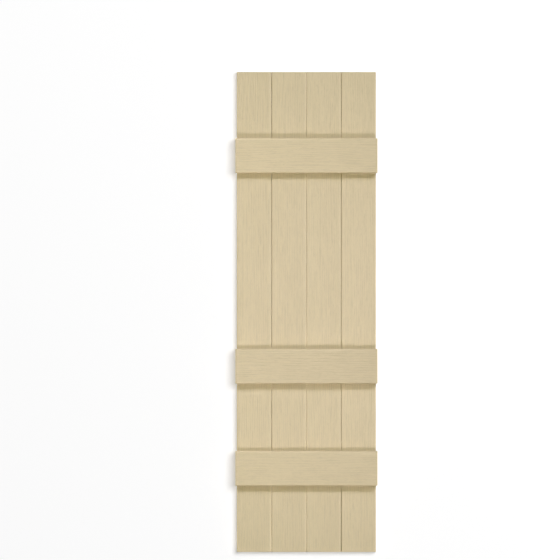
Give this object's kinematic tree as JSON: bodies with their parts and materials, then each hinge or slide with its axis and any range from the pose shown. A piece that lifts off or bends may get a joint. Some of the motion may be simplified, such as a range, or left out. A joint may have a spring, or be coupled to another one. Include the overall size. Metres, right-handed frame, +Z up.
{
  "type": "board and batten shutter",
  "caption": "Fixed exterior window shutter: hollow wood-grained vinyl boards side by side, held together by cross battens on the front, every open end closed by a plug cap.",
  "frame": {"origin": "centre of the back of the shutter, on the plane that lies against the wall", "axes": "+X to the right seen from the front, +Y into the wall, +Z up along the boards"},
  "size_m": [0.3522, 0.0318, 1.19],
  "materials": {
    "board_vinyl": "satin",
    "batten_vinyl": "satin",
    "cap_vinyl": "satin",
    "screw_steel": "satin"
  },
  "bodies": {
    "root": {"left_board": "board_vinyl", "left_centre_board": "board_vinyl", "right_centre_board": "board_vinyl", "right_board": "board_vinyl", "left_board_top_cap": "cap_vinyl", "left_board_bottom_cap": "cap_vinyl", "left_centre_board_top_cap": "cap_vinyl", "left_centre_board_bottom_cap": "cap_vinyl", "right_centre_board_top_cap": "cap_vinyl", "right_centre_board_bottom_cap": "cap_vinyl", "right_board_top_cap": "cap_vinyl", "right_board_bottom_cap": "cap_vinyl", "top_batten": "batten_vinyl", "middle_batten": "batten_vinyl", "bottom_batten": "batten_vinyl", "top_batten_left_cap": "cap_vinyl", "top_batten_right_cap": "cap_vinyl", "middle_batten_left_cap": "cap_vinyl", "middle_batten_right_cap": "cap_vinyl", "bottom_batten_left_cap": "cap_vinyl", "bottom_batten_right_cap": "cap_vinyl"}
  },
  "joints": []
}
